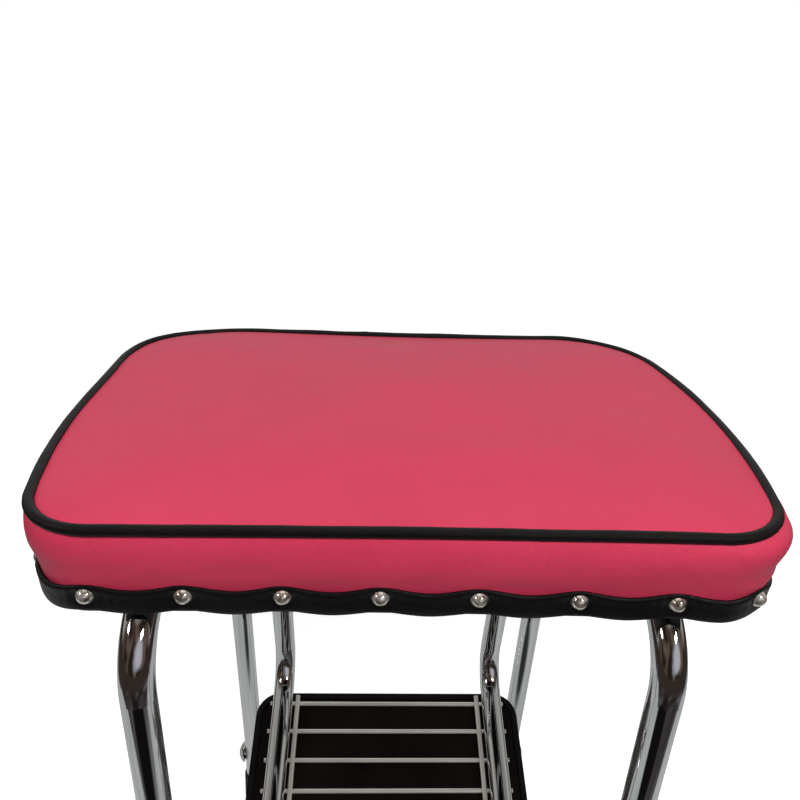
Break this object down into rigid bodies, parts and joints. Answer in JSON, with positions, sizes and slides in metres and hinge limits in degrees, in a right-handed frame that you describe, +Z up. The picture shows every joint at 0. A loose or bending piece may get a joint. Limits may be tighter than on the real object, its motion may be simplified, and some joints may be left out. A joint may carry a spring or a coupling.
{
  "type": "folding step stool chair",
  "caption": "Upholstered stool seat with piped edge and nailed trim band on a bent tubular steel frame, with a flip-out step stored under the seat.",
  "frame": {"origin": "on the floor, under the middle of the stool's bounding box with the step stored", "axes": "+Z up from the floor, +X to the right of a viewer in front, +Y from the front (the side the step folds out of) to the back"},
  "size_m": [0.4541, 0.3394, 0.609],
  "materials": {
    "seat_vinyl": "semi-gloss coated vinyl",
    "black_piping": "satin vinyl",
    "black_band": "satin vinyl",
    "nail_chrome": "polished",
    "plywood": "raw",
    "chrome": "polished",
    "wire_steel": "satin",
    "zinc_steel": "zinc plated",
    "black_plastic": "moulded",
    "bush_plastic": "moulded",
    "black_board": "painted black",
    "rubber": "matte"
  },
  "bodies": {
    "frame": {"seat_board": "plywood", "seat_cushion": "seat_vinyl", "seat_piping": "black_piping", "trim_band": "black_band", "trim_nails": "nail_chrome", "side_frame_left": "chrome", "side_frame_right": "chrome", "foot_front_left": "rubber", "foot_rear_left": "rubber", "foot_front_right": "rubber", "foot_rear_right": "rubber", "underseat_bar_front": "chrome", "underseat_bar_rear": "chrome", "seat_bolts": "zinc_steel", "seat_tee_nuts": "zinc_steel", "rear_stretcher": "chrome", "stretcher_plugs": "black_plastic", "stretcher_bolts": "chrome", "pivot_rod": "zinc_steel", "pivot_sleeve": "black_plastic", "pivot_spacer_left": "black_plastic", "pivot_spacer_right": "black_plastic", "pivot_nuts": "chrome", "stop_bracket_left": "chrome", "stop_bracket_right": "chrome", "stop_pins": "zinc_steel", "stop_sleeves": "rubber"},
    "step_unit": {"step_tube_left": "chrome", "step_tube_right": "chrome", "step_tube_plugs": "black_plastic", "pivot_bush_left": "bush_plastic", "pivot_bush_right": "bush_plastic", "step_leg_bar": "chrome", "step_foot_left": "rubber", "step_foot_right": "rubber", "tread_cross_rods": "wire_steel", "tread_long_rods": "wire_steel", "tread_board": "black_board", "tread_mat": "rubber", "tread_edging": "black_plastic", "tread_screws": "zinc_steel", "tread_spacers": "black_plastic"}
  },
  "joints": [
    {"name": "step_flip", "type": "hinge", "parent": "frame", "child": "step_unit", "pos_m": [0, -0.15282, 0.1847], "axis": [1, 0, 0], "range_deg": [0, 160]}
  ]
}
